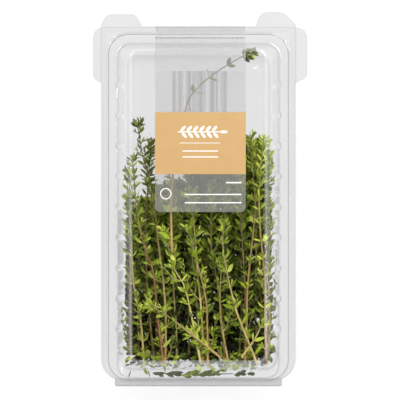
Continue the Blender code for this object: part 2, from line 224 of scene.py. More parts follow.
class Wire:
    """What a node gives out; arithmetic and comparisons on it add Math nodes."""

    __mul__ = math_method("MULTIPLY")
    __sub__ = math_method("SUBTRACT")
    __pow__ = math_method("POWER")
    __gt__ = math_method("GREATER_THAN")
    __lt__ = math_method("LESS_THAN")
    __abs__ = math_method("ABSOLUTE")

    def __init__(self, socket):
        self.socket = socket
        self.tree = socket.id_data

    def scaled(self, factor, shift, clamp=False):
        """The wire times a factor and moved by a shift."""
        return calculate("MULTIPLY_ADD", self, factor, shift, clamp=clamp)


def as_colour(value):
    """The four parts of a colour that is given as three, or as one for a grey."""
    return (*value, 1) if isinstance(value, tuple) else (value, value, value, 1)


def feed(socket, value):
    """Links a wire to a socket, or sets the socket's own value."""
    if isinstance(value, Wire):
        value.tree.links.new(value.socket, socket)
    else:
        socket.default_value = as_colour(value) if socket.type == "RGBA" else value


def add_node(tree, kind, **settings):
    """A node; a setting is either the node's own or feeds the socket of that name."""
    node = tree.nodes.new(kind)
    for key, value in settings.items():
        if hasattr(node, key):
            setattr(node, key, value)
        else:
            feed(node.inputs[key.replace("_", " ")], value)
    return node


def output_of(tree, kind, output, **settings):
    """One output of a new node."""
    return Wire(add_node(tree, kind, **settings).outputs[output])


def combine(kind, places, values, **settings):
    """The main output of a node that takes wires and plain values at these input places."""
    tree = next(value.tree for value in values if isinstance(value, Wire))
    node = add_node(tree, kind, **settings)
    for place, value in zip(places, values):
        feed(node.inputs[place], value)
    return Wire(node.outputs[2 if kind == "ShaderNodeMix" else 0])


def calculate(operation, *values, clamp=False):
    """The result of one Math node."""
    return combine("ShaderNodeMath", range(3), values, operation=operation, use_clamp=clamp)


def larger(first, second):
    """The larger of two values."""
    return calculate("MAXIMUM", first, second)


def between(value, low, high):
    """1 where a value lies between two limits."""
    return (value > low) * (value < high)


def mix(factor, first, second, blend="MIX"):
    """Two colours mixed by a factor."""
    values = (factor, first, second)
    return combine("ShaderNodeMix", (0, 6, 7), values, data_type="RGBA", blend_type=blend)


def mix_shaders(factor, first, second):
    """Two shaders mixed by a factor."""
    return combine("ShaderNodeMixShader", range(3), (factor, first, second))


def ramp(value, stops):
    """The colour of a ramp with stops of (position, colour)."""
    node = add_node(value.tree, "ShaderNodeValToRGB", Fac=value)
    elements = node.color_ramp.elements
    while len(elements) < len(stops):
        elements.new(0.5)
    for element, (position, colour) in zip(elements, stops):
        element.position = position
        element.color = as_colour(colour)
    return Wire(node.outputs[0])


def object_place(tree):
    """Object coordinates, in metres."""
    return output_of(tree, "ShaderNodeTexCoord", "Object")


def noise(tree, scale, detail, stretch=None):
    """Noise in object coordinates; stretch scales the coordinates first."""
    place = object_place(tree)
    if stretch:
        place = output_of(tree, "ShaderNodeMapping", 0, Vector=place, Scale=stretch)
    return output_of(tree, "ShaderNodeTexNoise", 0, Scale=scale, Detail=detail, Vector=place)


def bump(height, strength, distance):
    """A normal from a height."""
    return output_of(height.tree, "ShaderNodeBump", 0, Strength=strength, Distance=distance, Height=height)


def parts_of(vector):
    """The three numbers of a vector."""
    return [Wire(part) for part in add_node(vector.tree, "ShaderNodeSeparateXYZ", Vector=vector).outputs]


def facts(tree, name):
    """The three numbers that a mesh carries at each vertex under a name."""
    return parts_of(output_of(tree, "ShaderNodeAttribute", "Vector", attribute_name=name))


def pack_place(tree):
    """X and Y of a point in the pack's frame, in millimetres."""
    x, y, _ = parts_of(object_place(tree))
    return x.scaled(1 / MM, -PACK_X), y * (1 / MM)


def new_material(name):
    """A material, its node tree and its Principled shader."""
    material = bpy.data.materials.new(name)
    material.use_nodes = True
    tree = material.node_tree
    return material, tree, tree.nodes["Principled BSDF"]


def dress(shader, **values):
    """Feeds a shader's sockets; an underscore stands for a space."""
    for name, value in values.items():
        feed(shader.inputs[name.replace("_", " ")], value)


# ---- materials

# What the sheet lets through: face on and edge on, at the flanges and tabs, the tabs greyer as
# painted shade for the floor that darkens round the pack, greyer towards the hinge, and along a
# crease's dark line, which is painted shade.
SHEET_TINT = (0.961, 0.962, 0.962)
EDGE_ON_TINT = (0.70, 0.71, 0.72)
FLANGE_TINT = (0.952, 0.953, 0.953)
# Painted shade: the tabs are tinted greyer for the floor that darkens round the pack.
TAB_TINT = (0.91, 0.912, 0.912)
HINGE_END_TINT = 0.84
# LINE_TINT is the painted shade along creases; MILKY is the white of the band by the hinge and of the
# painted highlight along the lid panel's edge.
LINE_TINT = (0.22, 0.23, 0.23)
MILKY = 0.9
RIM_HALF = 46.9
RIM_TOP = 85.7

# The film's inks, and how much of the ground the clear, grey and tan zones hide.
TAN_INK = (0.50, 0.31, 0.124)
TAN_INK_MOTTLE = (0.55, 0.345, 0.148)
GREY_INK = (0.36, 0.36, 0.34)
CLEAR_FILM = 0.39
GREY_COVER = 0.24
TAN_EXTRA_COVER = 0.76
DASH_PITCH = 2.3
DASH_GAP = 0.34
DASH_HALF = 0.28
STRIPES_LEFT = -14.1
STRIPES_RIGHT = 15.1
STRIPES_LOW = 44.0

# Ramps: painted shade by depth, leaves by tone, and wood by hue.
DEPTH = 34.0
PAINTED_DEPTH_SHADES = [(0.3, 0.03), (0.46, 0.13), (0.6, 0.62), (0.72, 1)]
FRESH_LEAF = [
    (0.0, (0.018, 0.034, 0.001)),
    (0.35, (0.095, 0.155, 0.003)),
    (0.7, (0.30, 0.40, 0.014)),
    (1.0, (0.66, 0.76, 0.09)),
]
DRY_LEAF = [(0.0, (0.035, 0.04, 0.012)), (0.6, (0.11, 0.12, 0.03)), (1.0, (0.20, 0.13, 0.06))]
COOL_LEAF = (0.065, 0.085, 0.04)
LEAF_FOOT = (0.38, 0.42, 0.09)
MIDRIB = (0.42, 0.46, 0.12)
UNDERSIDE = ((0.17, 0.24, 0.025), (0.46, 0.55, 0.09))
WOOD = [
    (0.0, (0.32, 0.14, 0.055)),
    (0.25, (0.50, 0.31, 0.11)),
    (0.55, (0.66, 0.50, 0.19)),
    (0.8, (0.70, 0.60, 0.18)),
    (1.0, (0.62, 0.64, 0.26)),
]
DRY_WOOD = [(0.0, (0.05, 0.035, 0.025)), (0.3, (0.26, 0.15, 0.08))]
YOUNG_STEM = ((0.30, 0.33, 0.10), (0.16, 0.17, 0.09))


def sheet_tint(facing, x, y, crease):
    """The clear sheet's tint, which its place, the angle it is seen at and the painted shade of its creases
    change.
    """
    aside = abs(x)
    tint = mix(facing**9.0, SHEET_TINT, EDGE_ON_TINT)
    tint = mix(larger(aside > RIM_HALF, y > RIM_TOP), tint, FLANGE_TINT)
    tint = mix(larger(aside > FLANGE_HALF - 0.1, y > FLANGE_TOP + 0.1), tint, TAB_TINT)
    tint = mix(y.scaled(-1.2, -109.2, clamp=True) * 0.5, tint, HINGE_END_TINT)
    # Painted shade: a dark line along the creases.
    return mix(larger(crease, 0.0) ** 2.0, tint, LINE_TINT)


def clear_sheet_material(name):
    """Thin clear PET: see-through face on, glossy and greyer where it is seen edge on."""
    material, tree, principled = new_material(name)
    tree.nodes.remove(principled)
    normal = bump(noise(tree, 90.0, 1.0), 0.12, 0.0006)
    facing = output_of(tree, "ShaderNodeLayerWeight", "Facing", Blend=0.5, Normal=normal)
    crease = output_of(tree, "ShaderNodeAttribute", "Fac", attribute_name="painted_crease_line")
    x, y = pack_place(tree)
    tint = sheet_tint(facing, x, y, crease)
    through = output_of(tree, "ShaderNodeBsdfTransparent", 0, Color=tint)
    gloss = output_of(tree, "ShaderNodeBsdfGlossy", 0, Roughness=0.07, Color=1, Normal=normal)
    clear = mix_shaders((facing**4.0).scaled(0.45, 0.022, clamp=True), through, gloss)
    in_band = between(y, HAZE_LOW, HAZE_HIGH) * (abs(x) < HAZE_HALF)
    # Milky in the band by the hinge, plus a painted highlight where the crease value is below 0.
    milky_share = in_band.scaled(0.14, larger(crease * -1.0, 0.0) * 0.15, clamp=True)
    milky = output_of(tree, "ShaderNodeBsdfDiffuse", 0, Color=MILKY)
    dress(tree.nodes["Material Output"], Surface=mix_shaders(milky_share, clear, milky))
    return material


def front_label_material():
    """Film with a clear seal zone, a perforated line, a tan panel and a see-through grey one."""
    material, tree, shader = new_material("front_label_film")
    x, y = pack_place(tree)
    in_tan = between(y, GREY_ZONE_TOP, TAN_ZONE_TOP)
    above_tan = y > TAN_ZONE_TOP
    tan = mix(noise(tree, 160.0, 3.0), TAN_INK, TAN_INK_MOTTLE)
    colour = mix(above_tan, mix(in_tan, GREY_INK, tan), CLEAR_FILM)
    cover = above_tan.scaled(-0.005, in_tan.scaled(TAN_EXTRA_COVER, GREY_COVER))
    cover = (y > FILM_TAIL_Y).scaled(-0.1, cover)
    dashes = calculate("FRACT", x * (1 / DASH_PITCH)) > DASH_GAP
    cut = dashes * (abs(y - PERFORATION_Y) < DASH_HALF)
    normal = bump(noise(tree, 120.0, 2.0), 0.08, 0.0005)
    colour = mix(cut, colour, 0.16)
    dress(shader, Base_Color=colour, Alpha=cut.scaled(0.5, cover, clamp=True), Normal=normal)
    dress(shader, Roughness=0.32, IOR=1.45)
    return material


def back_label_material():
    """Film with a block of plain upright stripes."""
    material, tree, shader = new_material("back_label_film")
    x, y = pack_place(tree)
    in_block = between(x, STRIPES_LEFT, STRIPES_RIGHT) * (y > STRIPES_LOW)
    across = output_of(tree, "ShaderNodeCombineXYZ", 0, X=x)
    stripes = output_of(tree, "ShaderNodeTexNoise", 0, Scale=0.33, Detail=5.0, Vector=across)
    colour = mix(in_block, 0.5, ramp(stripes, [(0.45, 0.03), (0.55, 0.75)]))
    alpha = in_block.scaled(ramp(stripes, [(0.4, 0.26), (0.6, 0.07)]), 0.05)
    normal = bump(noise(tree, 150.0, 2.0), 0.1, 0.0005)
    dress(shader, Base_Color=colour, Alpha=alpha, Roughness=0.4, Normal=normal)
    return material


def white_print_material():
    """Opaque white ink, slightly uneven."""
    material, tree, shader = new_material("white_print")
    colour = ramp(noise(tree, 900.0, 3.0), [(0.3, (0.74, 0.73, 0.71)), (0.7, (0.86, 0.85, 0.83))])
    dress(shader, Base_Color=colour, Roughness=0.4)
    return material


def painted_depth_shade(tree):
    """Painted shade: leaves deep in the pack are drawn darker than those under the lid or by the walls."""
    height = parts_of(object_place(tree))[2]
    shade = ramp(height * (1 / (DEPTH * MM)), PAINTED_DEPTH_SHADES)
    x, _ = pack_place(tree)
    return mix(abs(x).scaled(0.2, -6.6, clamp=True) * 0.6, shade, 0.7)


def leaf_material(name, old=False):
    """Thyme leaf: olive above, paler and greyer below, with a light midrib, mottling and painted shade."""
    material, tree, shader = new_material(name)
    tone, blade, under = facts(tree, "leaf_facts")
    _, along, cool = facts(tree, "sprig_facts")
    upper = ramp(tone, DRY_LEAF if old else FRESH_LEAF)
    upper = mix(along * along * cool, upper, COOL_LEAF)
    upper = mix(calculate("SUBTRACT", 0.35, blade, clamp=True), upper, LEAF_FOOT)
    upper = mix((under < 0.05) * 0.35, upper, MIDRIB)
    colour = mix(under > 0.55, upper, mix(tone, *UNDERSIDE))
    mottle = ramp(noise(tree, 700.0, 3.0), [(0.3, 0.72), (0.7, (1.12, 1.12, 1.1))])
    colour = mix(1.0, colour, mottle, blend="MULTIPLY")
    # Painted shade by depth, fading out towards the sprigs' tips, which reach into the light.
    deep = calculate("SUBTRACT", 1.0, along * along, clamp=True)
    colour = mix(deep, colour, painted_depth_shade(tree), blend="MULTIPLY")
    normal = bump(noise(tree, 2600.0, 2.0), 0.35, 0.00012)
    dress(shader, Base_Color=colour, Roughness=0.48, Specular_IOR_Level=0.2, Normal=normal)
    return material


def stem_material(name, old=False):
    """Woody stem: tan, reddish or yellow at the foot, green towards the tip, fibres, painted shade."""
    material, tree, shader = new_material(name)
    hue, along, cool = facts(tree, "sprig_facts")
    if old:
        colour = ramp(hue, DRY_WOOD)
    else:
        colour = mix(along.scaled(1.6, -0.6, clamp=True), ramp(hue, WOOD), mix(cool, *YOUNG_STEM))
    fibres = noise(tree, 900.0, 3.0, stretch=(1.0, 0.12, 1.0))
    streaks = ramp(fibres, [(0.3, (0.62, 0.60, 0.58)), (0.7, (1.15, 1.12, 1.08))])
    colour = mix(1.0, colour, streaks, blend="MULTIPLY")
    # Painted shade by depth, weaker than on the leaves.
    colour = mix(0.7, colour, painted_depth_shade(tree), blend="MULTIPLY")
    dress(shader, Base_Color=colour, Roughness=0.55, Normal=bump(fibres, 0.5, 0.0002))
    return material


# ---- paths and directions

UP = np.array((0.0, 0.0, 1.0))


def unit(vector):
    """The vector at length 1."""
    return vector / np.linalg.norm(vector)


def unit_rows(vectors):
    """Each row at length 1."""
    return vectors / np.linalg.norm(vectors, axis=1)[:, None]


def jitter(rng, size):
    """A random vector within a cube of that half size."""
    return np.array([rng.uniform(-size, size) for _ in range(3)])


def turned(vector, axis, angle):
    """The vector turned round a unit axis."""
    cosine, sine = math.cos(angle), math.sin(angle)
    return vector * cosine + np.cross(axis, vector) * sine + axis * axis.dot(vector) * (1 - cosine)


def reach_along(path):
    """How far along a path each of its points lies."""
    steps = np.linalg.norm(np.diff(path, axis=0), axis=1)
    return np.concatenate([[0.0], steps.cumsum()])


def at_reach(place, reach, values):
    """The point or direction at a place along a path."""
    return np.array([np.interp(place, reach, values[:, axis]) for axis in range(3)])


def smooth_path(points, count):
    """Places on a smooth curve through points; the first and last are its ends."""
    points = np.asarray(points, dtype=float)
    points = np.vstack([2 * points[0] - points[1], points, 2 * points[-1] - points[-2]])
    places = np.linspace(0, len(points) - 3, count)
    index = np.minimum(places.astype(int), len(points) - 4)
    t = (places - index)[:, None]
    before, start, end, after = (points[index + offset] for offset in range(4))
    bend = 2 * start + (end - before) * t
    bend += (2 * before - 5 * start + 4 * end - after) * t * t
    bend += (3 * start - before - 3 * end + after) * t * t * t
    return bend / 2


# ---- shells


def in_pack(points):
    """Points in millimetres in the pack's frame, as metres in the row frame."""
    places = np.asarray(points, dtype=float).reshape(-1, 3).copy()
    places[:, 0] += PACK_X
    return places * MM


def rounded_outline(corners, steps=9):
    """Rounds the corners of a polygon; each corner is x, y and the radius there."""
    points = []
    count = len(corners)
    for index, (x, y, radius) in enumerate(corners):
        here = Vector((x, y))
        back = (Vector(corners[index - 1][:2]) - here).normalized()
        ahead = (Vector(corners[(index + 1) % count][:2]) - here).normalized()
        half_angle = back.angle(ahead) / 2
        middle = here + (back + ahead).normalized() * radius / math.sin(half_angle)
        first = here + back * radius / math.tan(half_angle) - middle
        last = here + ahead * radius / math.tan(half_angle) - middle
        sweep = first.angle(last)
        for step in range(steps + 1):
            angle = sweep * step / steps
            spoke = (first * math.sin(sweep - angle) + last * math.sin(angle)) / math.sin(sweep)
            points.append(tuple(middle + spoke))
    return points


def flange_corners(half, right_side, top_side, left_side):
    """The flange's outline, anticlockwise from the hinge strip, with the tabs put in."""
    edge = HINGE_EDGE + FOLD_ROUND
    strip_right = [(HINGE_HALF, edge, 0.5), (HINGE_HALF, -91.9, 0.6), (half, -88.4, 11.0)]
    strip_left = [(-x, y, radius) for x, y, radius in reversed(strip_right)]
    return strip_right + right_side + top_side + left_side + strip_left


def tray_corners():
    """The tray's outline: a tab on each long side, next to the opening edge."""
    half = FLANGE_HALF - TRAY_SETBACK
    right_tab = [
        (half, SIDE_TAB_FOOT, 0.8),
        (RIGHT_TAB_REACH, SIDE_TAB_FOOT + 3.2, 3.5),
        (RIGHT_TAB_REACH, SIDE_TAB_TIP, 5.0),
    ]
    left_tab = [
        (-LEFT_TAB_REACH, SIDE_TAB_TIP, 5.0),
        (-LEFT_TAB_REACH, SIDE_TAB_FOOT + 2.6, 3.0),
        (-half, SIDE_TAB_FOOT, 0.8),
    ]
    top = [(48.0, FLANGE_TOP, 3.0), (-48.0, FLANGE_TOP, 3.0)]
    return flange_corners(half, right_tab, top, left_tab)


def lid_corners():
    """The lid's outline: two rounded tabs that stand past the opening edge."""
    right_tab = [
        (FLANGE_HALF, 89.4, 2.5),
        (43.6, RIGHT_TAB_TIP, 7.0),
        (31.2, RIGHT_TAB_TIP, 5.5),
        (29.6, FLANGE_TOP, 0.8),
    ]
    left_tab = [
        (-28.8, FLANGE_TOP, 0.8),
        (-32.4, LEFT_TAB_TIP, 3.4),
        (-47.4, LEFT_TAB_TIP, 4.6),
        (-FLANGE_HALF, FLANGE_TOP, 2.5),
    ]
    return flange_corners(FLANGE_HALF, right_tab, [], left_tab)


def rounded_chain(rings, steps=4):
    """Rounds each ring of a chain off towards its neighbours, as a fillet does."""
    rings = [np.array(ring, dtype=float) for ring in rings]
    chain = [rings[0]]
    for before, here, after in zip(rings, rings[1:], rings[2:]):
        spans = [np.linalg.norm((other - here)[[0, Z]]) + 1e-6 for other in (before, after)]
        spans = [max(span, abs((other - here)[1])) for span, other in zip(spans, (before, after))]
        if not here[FILLET]:
            chain.append(here)
            continue
        cut = min(here[FILLET], *(span * 0.45 for span in spans))
        start = here + (before - here) * cut / spans[0]
        end = here + (after - here) * cut / spans[1]
        for step in range(steps + 1):
            t = step / steps
            chain.append(start * (1 - t) ** 2 + here * 2 * t * (1 - t) + end * t * t)
    chain.append(rings[-1])
    return chain


def arc_points(middle_x, middle_y, radius, start, steps=10):
    """A quarter turn anticlockwise from the start angle, in degrees."""
    angles = np.radians(start + 90.0 * np.arange(steps + 1) / steps)
    return list(zip(middle_x + radius * np.cos(angles), middle_y + radius * np.sin(angles)))


def ribbed_side(x, ribs_up):
    """Points of one long side, with round ribs that stand out of the well."""
    outward = math.copysign(1.0, x)
    points = []
    for rib in range(RIB_COUNT):
        middle = RIB_FIRST + rib * RIB_PITCH
        for along in np.linspace(-1.0, 1.0, 11):
            depth = RIB_DEPTH * ribs_up * math.sqrt(max(0.0, 1.0 - along * along))
            points.append((x + outward * depth, middle + along * RIB_FOOT))
    return points


def ring_points(ring):
    """A rounded rectangle with ribbed long sides, anticlockwise from its right side."""
    half, low, high, corner = ring[:4]
    points = ribbed_side(half, ring[RIB])
    points += arc_points(half - corner, high - corner, corner, 0)
    points += arc_points(corner - half, high - corner, corner, 90)
    points += reversed(ribbed_side(-half, ring[RIB]))
    points += arc_points(corner - half, low + corner, corner, 180)
    points += arc_points(half - corner, low + corner, corner, 270)
    return points


def add_object(name, data):
    """A new object in the scene."""
    thing = bpy.data.objects.new(name, data)
    bpy.context.collection.objects.link(thing)
    return thing


def new_mesh(name, verts, faces, sharp=None):
    """A smooth mesh from places in the pack's frame, with an edge from a sharp angle on."""
    mesh = bpy.data.meshes.new(name)
    mesh.from_pydata(in_pack(verts).tolist(), [], faces)
    mesh.shade_smooth()
    if sharp:
        mesh.set_sharp_from_angle(angle=math.radians(sharp))
    return mesh


def mesh_from(bm, name):
    """A mesh from a bmesh, its faces turned outwards."""
    bmesh.ops.recalc_face_normals(bm, faces=bm.faces)
    mesh = bpy.data.meshes.new(name)
    bm.to_mesh(mesh)
    bm.free()
    return mesh


def sheet_faces(rows, width):
    """Quads of a grid whose vertices come row by row."""
    corners = [row * width + column for row in range(rows - 1) for column in range(width - 1)]
    return [(corner, corner + 1, corner + width + 1, corner + width) for corner in corners]


def tube_faces(rings, sides):
    """Quads between rings of vertices that follow each other."""
    faces = []
    for first in range(0, (rings - 1) * sides, sides):
        for side in range(sides):
            corners = (first + side, first + (side + 1) % sides)
            faces.append((*corners, corners[1] + sides, corners[0] + sides))
    return faces


def finish_piece(name, mesh, body, replaced, materials):
    """Links a mesh as a piece that rides on a body and stands for CAD nodes."""
    for material in materials:
        mesh.materials.append(material)
    piece = add_object(name, mesh)
    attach(piece, body)
    if replaced:
        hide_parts(*replaced)
    return piece


def thicken(piece, thickness):
    """Gives an open surface its thickness, half on each side."""
    solidify = piece.modifiers.new("thickness", "SOLIDIFY")
    solidify.thickness = thickness * MM
    solidify.offset = 0.0
    solidify.use_even_offset = True
    split = piece.modifiers.new("crisp_rims", "EDGE_SPLIT")
    split.split_angle = math.radians(40)


def inset(outline, distance):
    """A closed anticlockwise outline moved inwards."""
    points = np.array(outline)
    runs = unit_rows(np.roll(points, -1, axis=0) - np.roll(points, 1, axis=0))
    return points + np.stack([-runs[:, 1], runs[:, 0]], axis=1) * distance


def add_loop(bm, points, z, crease):
    """A ring of vertices that carry how dark the painted shade along the sheet's crease is there."""
    layer = bm.verts.layers.float.get("painted_crease_line") or bm.verts.layers.float.new("painted_crease_line")
    loop = [bm.verts.new(in_pack((x, y, z))[0]) for x, y in points]
    for vert in loop:
        vert[layer] = crease
    return loop


def bridge(bm, outer, inner):
    """Quads between two rings of vertices."""
    for index in range(len(outer)):
        following = (index + 1) % len(outer)
        bm.faces.new((outer[index], outer[following], inner[following], inner[index]))


def make_shell(body, rings, corners, material):
    """A thermoformed half, rounded along its edges, with its flange outside."""
    chain = rounded_chain(rings)
    bm = bmesh.new()
    loops = [add_loop(bm, ring_points(ring), ring[Z], ring[CREASE]) for ring in chain]
    for outer, inner in zip(loops, loops[1:]):
        bridge(bm, outer, inner)
    bm.faces.new(loops[-1])
    outline = rounded_outline(corners)
    # The cut edge's ring carries the painted shade of the cut line.
    cut_edge = add_loop(bm, outline, chain[0][Z], CUT_LINE_SHADE)
    flange = add_loop(bm, inset(outline, CUT_LINE), chain[0][Z], 0.0)
    bridge(bm, cut_edge, flange)
    edges = []
    for loop in (flange, loops[0]):
        for index in range(len(loop)):
            pair = (loop[index - 1], loop[index])
            edges.append(bm.edges.get(pair) or bm.edges.new(pair))
    bmesh.ops.triangle_fill(bm, use_beauty=True, edges=edges)
    mesh = mesh_from(bm, f"{body}_shell")
    mesh.shade_smooth()
    mesh.set_sharp_from_angle(angle=math.radians(38))
    thicken(finish_piece(mesh.name, mesh, body, [body], [material]), SHEET)


def make_fold(material, steps=12):
    """The web of sheet round the fold."""
    middle_y = HINGE_EDGE + FOLD_ROUND
    middle_z = (TRAY_FLANGE_Z + LID_FLANGE_Z) / 2
    half_gap = (LID_FLANGE_Z - TRAY_FLANGE_Z) / 2
    verts = []
    for x in (0.4 - HINGE_HALF, HINGE_HALF - 0.4):
        for step in range(steps + 1):
            angle = -math.pi / 2 + math.pi * step / steps
            y = middle_y - (FOLD_ROUND - SHEET / 2 - 0.05) * math.cos(angle)
            verts.append((x, y, middle_z + half_gap * math.sin(angle)))
    mesh = new_mesh("hinge_fold", verts, sheet_faces(2, steps + 1))
    mesh.materials.append(material)
    fold = add_object("hinge_fold", mesh)
    thicken(fold, SHEET)
    x, y = PACK_X * MM, middle_y * MM
    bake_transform(fold)


# ---- labels


def offset_path(points, distance):
    """Moves a path in the Y-Z plane to its right by a distance, with mitred corners."""
    points = np.asarray(points, dtype=float)
    runs = unit_rows(np.diff(points, axis=0))
    normals = np.stack([runs[:, 1], -runs[:, 0]], axis=1)
    first = np.vstack([normals[:1], normals])
    last = np.vstack([normals, normals[-1:]])
    miter = unit_rows(first + last)
    return points + miter * distance / (miter * first).sum(axis=1)[:, None]


def make_film(name, path, clearance, body, replaced, material, corner_radius=0.0, across=16):
    """A film along a path in the Y-Z plane; corner_radius rounds the corners at its far end."""
    path = offset_path(path, clearance + FILM / 2)
    to_end = reach_along(path[::-1])[::-1]
    verts = []
    for (y, z), left in zip(path, to_end):
        half = LABEL_HALF
        if left < corner_radius:
            half -= corner_radius - math.sqrt(corner_radius**2 - (corner_radius - left) ** 2)
        for step in range(across + 1):
            verts.append((LABEL_MIDDLE + half * (2 * step / across - 1), y, z))
    mesh = new_mesh(name, verts, sheet_faces(len(path), across + 1), sharp=50)
    thicken(finish_piece(name, mesh, body, replaced, [material]), FILM)


def label_rows(start, end, corner_radius):
    """Places along the flat end of a label: sparse, then close where its corners round off."""
    direction = math.copysign(1.0, end - start)
    rows = list(np.linspace(start, end - direction * corner_radius, 12))
    for angle in math.pi / 2 * np.arange(1, 9) / 8:
        rows.append(end - direction * corner_radius * (1 - math.sin(angle)))
    return rows


def bar(left, right, y, height):
    """A plain printed rule."""
    low, high = y - height / 2, y + height / 2
    return [(left, low), (right, low), (right, high), (left, high)]


def printed_leaf(x, y, turn, length, width):
    """A plain pointed oval that starts at a point and heads at an angle in degrees."""
    heading = np.array((math.cos(math.radians(turn)), math.sin(math.radians(turn))))
    across = np.array((-heading[1], heading[0]))
    outline = []
    for angle in np.arange(14) * 2 * math.pi / 14:
        along = length / 2 * (1 - math.cos(angle))
        outline.append(tuple(np.array((x, y)) + heading * along + across * width / 2 * math.sin(angle)))
    return outline


def ring_parts(x, y, inner, outer, parts=28):
    """A printed ring, as a row of small quads."""
    angles = np.arange(parts + 1) * 2 * math.pi / parts
    spokes = np.stack([np.cos(angles), np.sin(angles)], axis=1)
    middle = np.array((x, y))
    quads = []
    for start, end in zip(spokes, spokes[1:]):
        corners = (start * inner, start * outer, end * outer, end * inner)
        quads.append([tuple(middle + corner) for corner in corners])
    return quads


def make_print(name, outlines, material):
    """Ink on top of the front label, from plain outlines."""
    z = LID_RINGS[-1][Z] + SHEET / 2 + FILM_GAP + FILM + INK / 2
    bm = bmesh.new()
    for outline in outlines:
        bm.faces.new([bm.verts.new(in_pack((x, y, z))[0]) for x, y in outline])
    thicken(finish_piece(name, mesh_from(bm, name), "lid", None, [material]), INK)


def print_label(ink):
    """The white print: a plain sprig, plain rules and a plain ring."""
    sprig = [bar(-10.5, 11.0, SPRIG_PRINT_Y, 0.5), printed_leaf(10.8, SPRIG_PRINT_Y, 0, 4.0, 1.5)]
    for x in np.arange(-9.0, 10.0, 3.2):
        sprig.append(printed_leaf(x, SPRIG_PRINT_Y + 0.3, 48, 3.6, 1.5))
        sprig.append(printed_leaf(x + 0.6, SPRIG_PRINT_Y - 0.3, -48, 3.6, 1.5))
    for number, outline in enumerate(sprig):
        make_print(f"printed_sprig_{number:02d}", [outline], ink)
    make_print("printed_rules", [bar(*rule) for rule in PRINTED_RULES], ink)
    make_print("printed_ring", ring_parts(-16.5, 3.0, 2.4, 2.9), ink)


def make_labels(front, back, ink):
    """The front label, its tail under the tray's flange, and the back label."""
    clearance = SHEET / 2 + FILM_GAP
    flat_z = LID_RINGS[-1][Z]
    rows = label_rows(FILM_DROP[-1][0] - 1.0, FRONT_LABEL_END, LABEL_CORNER)
    path = FILM_DROP + [(y, flat_z) for y in rows]
    make_film("front_label", path, clearance, "lid", ["label_front"], front, LABEL_CORNER)
    tail = [(86.2, TRAY_FLANGE_Z), (FLANGE_TOP, TRAY_FLANGE_Z), (FLANGE_TOP, TRAY_FLANGE_Z + 0.2)]
    make_film("seal_tail", tail, clearance, "tray", ["label_seal"], front)
    rows = label_rows(BACK_LABEL_LOW + 20, BACK_LABEL_HIGH, LABEL_CORNER)
    flat = [(BACK_LABEL_LOW, BACK_LABEL_Z)] + [(y, BACK_LABEL_Z) for y in rows]
    make_film("back_label", flat, 0.0, "tray", ["label_back"], back, LABEL_CORNER)
    print_label(ink)


# ---- growth

# Stations along a leaf: place from foot to tip, and half width against the widest.
FINE_LEAF = [(0.0, 0.14), (0.12, 0.2), (0.27, 0.7), (0.46, 1.0), (0.65, 0.92), (0.84, 0.56)]
PLAIN_LEAF = [(0.0, 0.16), (0.2, 0.5), (0.45, 1.0), (0.74, 0.8)]
LEAF_THICK = 0.16
# The least and greatest width of a leaf against its length.
BROAD_LEAF = (0.32, 0.44)
NARROW_LEAF = (0.18, 0.28)


def leaf_template(stations):
    """A closed thin leaf: half-width, length, thickness and side facts of each vertex, and faces."""
    verts = []
    for along, half in stations:
        thick = 1.0 - 0.6 * along
        verts += [(-half, along, 0, 0.5), (0, along, thick, 0), (half, along, 0, 0.5), (0, along, -thick, 1)]
    verts.append((0, 1.0, 0, 0.5))
    faces = [(0, 3, 2, 1)] + tube_faces(len(stations), 4)
    last = (len(stations) - 1) * 4
    faces += [(last + side, last + (side + 1) % 4, len(verts) - 1) for side in range(4)]
    return np.array(verts), faces


LEAVES = {True: leaf_template(FINE_LEAF), False: leaf_template(PLAIN_LEAF)}


def inner_limits(z):
    """The free half width, low y and high y between the walls at heights."""
    heights = [ring[4] for ring in ROOM_RINGS]
    half, low, high = (np.interp(z, heights, [ring[part] for ring in ROOM_RINGS]) for part in range(3))
    return half - ROOM_CLEARANCE, low + ROOM_CLEARANCE, high - ROOM_CLEARANCE


def soft_limit(values, low, high, margin=1.6):
    """Presses values that near a limit against it without letting them pass."""
    over = values - (high - margin)
    values = np.where(over > 0, high - margin + margin * np.tanh(over / margin), values)
    under = (low + margin) - values
    return np.where(under > 0, low + margin - margin * np.tanh(under / margin), values)


def keep_inside(verts):
    """Presses growth against the pack's base, walls and lid."""
    verts = verts.copy()
    verts[:, 2] = soft_limit(verts[:, 2], ROOM_FLOOR, ROOM_TOP)
    half, low, high = inner_limits(verts[:, 2])
    verts[:, 0] = soft_limit(verts[:, 0], -half, half)
    verts[:, 1] = soft_limit(verts[:, 1], low, high)
    return verts


